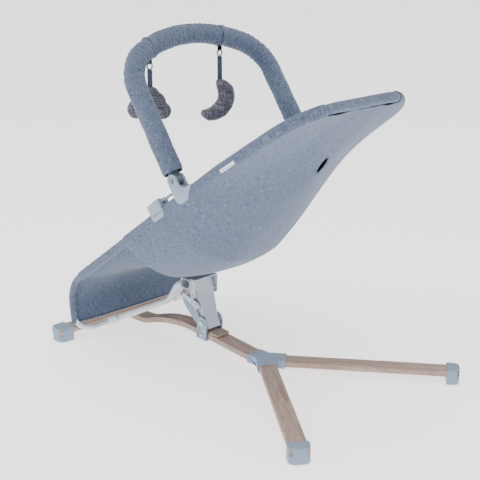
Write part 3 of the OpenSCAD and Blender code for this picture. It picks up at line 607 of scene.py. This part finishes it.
def liner_line(s):
    """Centre point, upward normal and rail coordinate v at distance s from the leg hem."""
    if s < LEG_RUN:
        at = Vector((0, leg_hem.y, leg_hem.z)) - LEG_DIR * s
        return at, ACROSS.cross(-LEG_DIR), KNEE_V - 0.1
    if s < LEG_RUN + KNEE_ARC:
        a = (s - LEG_RUN) / KNEE_R
        start = Vector((0, knee.y, knee.z)) + LEG_DIR * KNEE_LEAD
        inward = ACROSS.cross(LEG_DIR)
        at = start - LEG_DIR * (KNEE_R * sin(a)) + inward * (KNEE_R * (1 - cos(a)))
        ahead = -LEG_DIR * cos(a) + inward * sin(a)
        return at, ACROSS.cross(ahead), KNEE_V
    v = KNEE_V + KNEE_LEAD + s - LEG_RUN - KNEE_ARC
    return on_rail(0, v, 0), RISE, v


LINER_SAG = [(-1.0, 6), (0.0, 30), (0.08, 56), (0.15, 84), (0.226, 98), (0.29, 96), (0.36, 74),
             (0.43, 46), (0.50, 29), (0.56, 22), (0.60, 14), (0.6275, 4)]


def liner_sag(v, s):
    if v <= 0.0:
        share = s / (LEG_RUN + KNEE_ARC + 0.05)
        return (6 + 24 * min(1.0, share) ** 3) * MM
    for (v0, d0), (v1, d1) in zip(LINER_SAG, LINER_SAG[1:]):
        if v <= v1:
            k = (v - v0) / (v1 - v0)
            k = k * k * (3 - 2 * k) * 0.5 + k * 0.5
            return (d0 + (d1 - d0) * k) * MM
    return 0.004


def liner_point(u, t):
    s = LINER_RUN * t
    at, up, v = liner_line(s)
    e = 2 * u - 1
    reach = half_width(v, 0.002) if v > 0 else RAIL_X - 0.001
    lip = (ROD_R if v < -0.04 else RAIL_R) + 0.001
    fade = min(1.0, max(0.0, (v + 0.05) / 0.03)) if v > -0.05 else 0.0
    lip = (ROD_R + 0.0012) * (1 - fade) + (RAIL_R + 0.0012) * fade
    drop = liner_sag(v, s) * (1 - abs(e) ** 2.4) - lip * abs(e) ** 9
    soft = noise.noise(Vector((e * 2.4, s * 8, 5.1))) * 0.0016
    return at + ACROSS * (e * reach) - up * (drop + soft * (1 - e ** 4))


liner_bm = grid(110, 190, liner_point, (0.40, LINER_RUN), wall=0.0016)
# The liner wears the darker copy of chambray, which is painted shade.
seat_liner = keep(liner_bm, "seat_liner", chambray_painted_shade, "seat")
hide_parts("leg_panel")

leg_hem_row = [liner_point(k / 120, 0.0) for k in range(121)]
hem = keep(tube(leg_hem_row, 0.0017, around=8), "leg_hem", chambray_painted_shade, "seat")
hem_rows = [[liner_point(k / 400, t) + Vector((0, -0.0012, 0)) for k in range(401)] for t in (0.008, 0.014)]
stitches("leg_hem_stitches", hem_rows, "seat")

# %% [markdown]
# ## Harness
# Webbing straps are woven flat, so each is a strip with a wall, bent along the same line as its
# CAD solid. They run from the buckle to the clips on the rails, and one comes up between the legs.

# %% Harness straps
def strap(name, line, across, width, thick, body, node=None, finish=None):
    """A flat strap: line(t) gives its centre, across the direction of its width."""
    length = sum((line(k / 60) - line((k + 1) / 60)).length for k in range(60))
    bm = grid(8, 60, lambda u, t: line(t) + across * ((u - 0.5) * width), (width, length), wall=thick)
    made = keep(bm, name, finish or webbing, body)
    if node:
        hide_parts(node)
    print(name, "is", round(length, 3), "m long")
    return made


for side, name in ((1, "waist_strap_left"), (-1, "waist_strap_right")):
    strap(name + "_webbing",
          lambda t, side=side: on_rail(side * (0.036 + 0.113 * t), 0.226 + 0.034 * t,
                                       -0.081 + 0.068 * t ** 2.4),
          ALONG, 0.022, 0.0018, "seat", name)
strap("crotch_strap_webbing",
      lambda t: on_rail(0, 0.158 + 0.050 * t, -0.103 + 0.014 * sin(pi / 2 * t)),
      ACROSS, 0.028, 0.0018, "seat", "crotch_strap")

# %% [markdown]
# ## Toy bar cover
# A quilted sleeve is pushed over the steel bow. It is longer than the bow's inside, so the cloth
# gathers in folds across the bar, deepest inside the bends, and it ends in a plain open cuff.

# %% Bar cover
BAR_PIVOT = Vector((RAIL_X, CAD_SHIFT - 0.0515, 0.3952))
LEAN = math.radians(34.4)
BAR_UP = Vector((0, -sin(LEAN), cos(LEAN)))
BAR_OUT = Vector((0, -cos(LEAN), -sin(LEAN)))
BAR_H, CORNER_R, CORNER_TURN, COVER_R = 0.272, 0.080, math.radians(65), 0.017
CROWN_R = (RAIL_X - CORNER_R * (1 - cos(CORNER_TURN))) / sin(pi / 2 - CORNER_TURN)
STRAIGHT = BAR_H - CORNER_R * sin(CORNER_TURN) - CROWN_R * (1 - cos(pi / 2 - CORNER_TURN))


def in_bar(x, height, out=0.0):
    return Vector((x, BAR_PIVOT.y, BAR_PIVOT.z)) + BAR_UP * height + BAR_OUT * out


def bow_side(step=0.0016, start=0.0145):
    """The bow's centre line from one end up to the middle of the crown."""
    points = []
    count = round((STRAIGHT - start) / step)
    points += [in_bar(RAIL_X, start + (STRAIGHT - start) * k / count) for k in range(count)]
    count = round(CORNER_R * CORNER_TURN / step)
    points += [in_bar(RAIL_X - CORNER_R * (1 - cos(CORNER_TURN * k / count)),
                      STRAIGHT + CORNER_R * sin(CORNER_TURN * k / count)) for k in range(count)]
    crown = pi / 2 - CORNER_TURN
    count = round(CROWN_R * crown / step)
    points += [in_bar(CROWN_R * sin(crown * (1 - k / count)),
                      BAR_H - CROWN_R * (1 - cos(crown * (1 - k / count)))) for k in range(count + 1)]
    return points


bow = bow_side()
bow += [mirror(p) for p in reversed(bow[:-1])]
bow_length = sum((a - b).length for a, b in zip(bow, bow[1:]))
print("bar cover length", round(bow_length, 3))


def cover_place(u, t):
    spot = min(round(t * (len(bow) - 1)), len(bow) - 1)
    at = bow[spot]
    ahead = (bow[min(spot + 1, len(bow) - 1)] - bow[max(spot - 1, 0)]).normalized()
    inward = ahead.cross(BAR_OUT).normalized()
    angle = 2 * pi * u
    s = t * bow_length
    bend = min(1.0, max(0.0, (min(s, bow_length - s) - STRAIGHT + 0.02) / 0.05))
    inner = 0.5 + 0.5 * cos(angle)
    phase = s / 0.0105 + 0.9 * noise.noise(Vector((s * 26, inner * 0.9, 2.0)))
    fold = abs(sin(pi * phase)) ** 0.8
    uneven = 0.7 + 0.6 * noise.noise(Vector((s * 30, angle, 8.0)))
    deep = (0.0005 + 0.0019 * bend * (0.35 + 0.65 * inner)) * uneven
    lumps = 0.0011 * noise.noise(Vector((s * 34, cos(angle) * 1.1, sin(angle) * 1.1)))
    cuff = min(1.0, min(t, 1 - t) * bow_length / 0.006)
    reach = COVER_R - 0.0006 - deep * (1 - fold) + lumps + 0.0009 * (fold - 0.5) * bend
    reach *= 0.93 + 0.07 * cuff ** 0.5
    return at + inward * (cos(angle) * reach) + BAR_OUT * (sin(angle) * reach)


cover_bm = grid(40, len(bow) - 1, cover_place, (2 * pi * COVER_R, bow_length), ring=True, wall=0.0022)
bar_cover = keep(cover_bm, "toy_bar_cover", chambray, "toy_bar")
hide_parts("bar_cover")


# %% [markdown]
# ## Toys
# A cloud and a crescent moon are cut from felted cloth, sewn round the edge and stuffed. Each is
# first a row of balls that fill its outline; a voxel remesh joins them into one skin, smoothing
# rounds it, and the seam is drawn in where the front meets the back.

# %% Stuffed toys
TOY_TURN = math.radians(-44)


def hang(x):
    """The bow's centre above a toy at x."""
    return in_bar(x, BAR_H - CROWN_R * (1 - math.sqrt(1 - (x / CROWN_R) ** 2)))


def stuffed(name, centre, balls, flat, body, node):
    bm = bmesh.new()
    for a, b, radius in balls:
        size = Matrix.Diagonal((1.0, flat(radius), 1.0, 1.0))
        bmesh.ops.create_icosphere(bm, subdivisions=3, radius=radius * MM,
                                   matrix=Matrix.Translation((a * MM, 0, b * MM)) @ size)
    mesh = bpy.data.meshes.new(name + "_balls")
    bm.to_mesh(mesh)
    bm.free()
    lump = bpy.data.objects.new(name + "_balls", mesh)
    scene.collection.objects.link(lump)
    remesh = lump.modifiers.new("skin", "REMESH")
    remesh.mode = "VOXEL"
    remesh.voxel_size = 0.0019
    bpy.context.view_layer.update()
    skin = bpy.data.meshes.new_from_object(lump.evaluated_get(bpy.context.evaluated_depsgraph_get()))
    bpy.data.objects.remove(lump)
    bm = bmesh.new()
    bm.from_mesh(skin)
    for _ in range(7):
        bmesh.ops.smooth_vert(bm, verts=bm.verts, factor=0.5, use_axis_x=True, use_axis_y=True,
                              use_axis_z=True)
    bm.normal_update()
    for vert in bm.verts:
        seam = max(0.0, 1 - abs(vert.co.y) / 0.0016)
        soft = noise.noise(vert.co * 70) * 0.0009 + noise.noise(vert.co * 210) * 0.0004
        vert.co += vert.normal * (soft - 0.0011 * seam)
    cloth = bm.loops.layers.uv.new("cloth")
    for face in bm.faces:
        for loop in face.loops:
            loop[cloth].uv = (loop.vert.co.x + loop.vert.co.y, loop.vert.co.z)
    bmesh.ops.transform(bm, verts=bm.verts,
                        matrix=Matrix.Translation(centre) @ Matrix.Rotation(TOY_TURN, 4, "Z"))
    made = keep(bm, name, toy_cloth, body)
    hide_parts(node)
    return made


CLOUD_X, MOON_X, RING_DROP, CLOUD_DROP, MOON_DROP = 0.105, -0.075, 0.033, 0.068, 0.072
cloud_balls = [(-22, -10, 16.5), (-9, 6, 20), (3, 9, 26), (12, 2, 22), (25, -7, 19), (12, -12, 16),
               (-6, -10, 18), (0, 16, 19)]
stuffed("toy_cloud_stuffed", hang(CLOUD_X) - Vector((0, 0, CLOUD_DROP + 0.036)), cloud_balls,
        lambda radius: 12.5 / radius, "cloud", "toy_cloud")

moon_line = [(2, 14, 7.5), (-5, 8, 12.5), (-12, -3, 16.6), (-13, -15, 17.4), (-9, -28, 17.6),
             (-1, -38, 17.0), (10, -46, 15.6), (21, -49, 12.6), (31, -47, 8.2)]
moon_balls = []
for (a0, b0, r0), (a1, b1, r1) in zip(moon_line, moon_line[1:]):
    for k in (0, 1, 2, 3):
        share = k / 4
        moon_balls.append((a0 + (a1 - a0) * share, b0 + (b1 - b0) * share, r0 + (r1 - r0) * share))
moon_balls.append(moon_line[-1])
print("moon balls", len(moon_balls), "widest", round(max(ball[2] for ball in moon_balls), 1))
stuffed("toy_moon_stuffed", hang(MOON_X) - Vector((0, 0, MOON_DROP + 0.032)), moon_balls,
        lambda radius: min(1.0, 11.5 / radius) if radius > 11.5 else 0.9, "moon", "toy_moon")

# %% [markdown]
# ## Toy straps
# Each toy hangs from a narrow band of cloth sewn round the padded bar, through a small steel ring,
# and from a second band sewn to the toy.

# %% Toy straps
MOON_REACH = 0.012  # the moon's top lies this much lower, so its link is longer
BAND_WIDTH, LINK_WIDTH = 0.012, 0.0095
for name, x, drop, toy_body in (("cloud", CLOUD_X, CLOUD_DROP, "cloud"),
                                ("moon", MOON_X, MOON_DROP + MOON_REACH, "moon")):
    top = hang(x)

    def loop_place(u, t, top=top):
        angle = 2 * pi * t
        ripple = 0.0003 * noise.noise(Vector((u * 4, angle * 3, 3.0)))
        reach = COVER_R + 0.0016 + ripple
        sideways = ACROSS * ((u - 0.5) * BAND_WIDTH)
        return top + sideways + BAR_UP * (cos(angle) * reach) + BAR_OUT * (sin(angle) * reach)

    band = keep(grid(6, 64, loop_place, (BAND_WIDTH, 0.118), ring=True, wall=0.0012), name + "_band",
                chambray, "toy_bar")
    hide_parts(name + "_strap")

    def tail_place(t, top=top):
        return top - Vector((0, 0, COVER_R + 0.0008 + (RING_DROP - COVER_R - 0.0055) * t))

    def link_place(t, top=top, drop=drop):
        return top - Vector((0, 0, RING_DROP + 0.0066 + (drop - RING_DROP - 0.002) * t))

    strap(name + "_tail", tail_place, ACROSS, BAND_WIDTH, 0.0014, "toy_bar", finish=chambray)
    strap(name + "_link", link_place, Matrix.Rotation(TOY_TURN, 3, "Z") @ ACROSS, LINK_WIDTH, 0.0016,
          toy_body, finish=chambray)

# %% [markdown]
# ## Moulded edges
# CAD edges are knife sharp; moulded and bent parts never are. Each hard part is copied, its loose
# triangles are joined, and every sharp edge gets a small round.

# %% Rounded copies of hard parts
def rounded(node, width, finish, segments=2):
    bm = bmesh.new()
    bm.from_mesh(nodes[node].data)
    bmesh.ops.remove_doubles(bm, verts=bm.verts, dist=2e-6)
    bmesh.ops.dissolve_limit(bm, angle_limit=math.radians(1.0), verts=bm.verts, edges=bm.edges)
    if width:
        sharp = [e for e in bm.edges if len(e.link_faces) == 2 and e.calc_face_angle(0) > math.radians(40)]
        bmesh.ops.bevel(bm, geom=sharp, offset=width, offset_type="OFFSET", segments=segments,
                        profile=0.5, affect="EDGES", clamp_overlap=True, material=-1)
    bmesh.ops.triangulate(bm, faces=[f for f in bm.faces if len(f.verts) > 4])
    body = next(b for b, members in frame["record"]["behaviour"]["bodies"].items() if node in members)
    made = keep(bm, node + "_finished", finish, body)
    made.data.set_sharp_from_angle(angle=math.radians(38))
    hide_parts(node)
    return made


slot_of = {part["node"]: part["material_slot"] for part in frame["record"]["subparts"]}
edge_width = {"front_foot_cap_left": 2.0, "front_foot_cap_right": 2.0, "rear_foot_cap_left": 2.0,
              "rear_foot_cap_right": 2.0, "rear_junction": 1.0, "saddle_bracket": 0.8,
              "bar_bracket_left": 1.0, "bar_bracket_right": 1.0, "side_clip_left": 1.0,
              "side_clip_right": 1.0, "clip_lever_left": 0.5, "clip_lever_right": 0.5,
              "side_plate_left": 0.4, "side_plate_right": 0.4, "lock_lever_left": 0.5,
              "lock_lever_right": 0.5, "rear_strut": 0.4, "carrier_tube": 0.5, "buckle_body": 1.6,
              "buckle_button": 0.7, "main_pin": 0.5, "top_pin": 0.5, "clamp_bolt": 0.4,
              "junction_screws": 0.4, "crossbar_screws": 0.4, "saddle_screws": 0.4,
              "centre_tube_left": 0, "centre_tube_right": 0, "tube_collar_left": 0.6,
              "tube_collar_right": 0.6, "leg_rod_left": 0, "leg_rod_right": 0}
for node, width in edge_width.items():
    rounded(node, width * MM, finishes[slot_of[node]])

# %% [markdown]
# ## Finishes on the CAD parts that stay
# The bars of the base and the plain hidden parts keep their CAD mesh and only get their finish.

# %% CAD finishes
for node, part in nodes.items():
    slot = slot_of[node]
    finish = wood_of.get(node) or finishes.get(slot) or chambray_painted_shade
    part.data.materials.clear()
    part.data.materials.append(finish)

# %% [markdown]
# ## Floor
# A wide pale sheet that runs under the object, so it only shows soft contact shadows.

# %% Floor
floor_bm = bmesh.new()
bmesh.ops.create_grid(floor_bm, x_segments=1, y_segments=1, size=20.0)
floor_mesh = bpy.data.meshes.new("floor")
floor_bm.to_mesh(floor_mesh)
floor_bm.free()
floor = bpy.data.objects.new("floor", floor_mesh)
scene.collection.objects.link(floor)
floor_paint, _, floor_shader = new_material("matt_paper", Roughness=0.95)
floor_shader.inputs["Base Color"].default_value = linear("#f6f6f7")
floor_shader.inputs["Emission Color"].default_value = (1.0, 1.0, 1.0, 1.0)
floor_shader.inputs["Emission Strength"].default_value = 1.3
floor_mesh.materials.append(floor_paint)
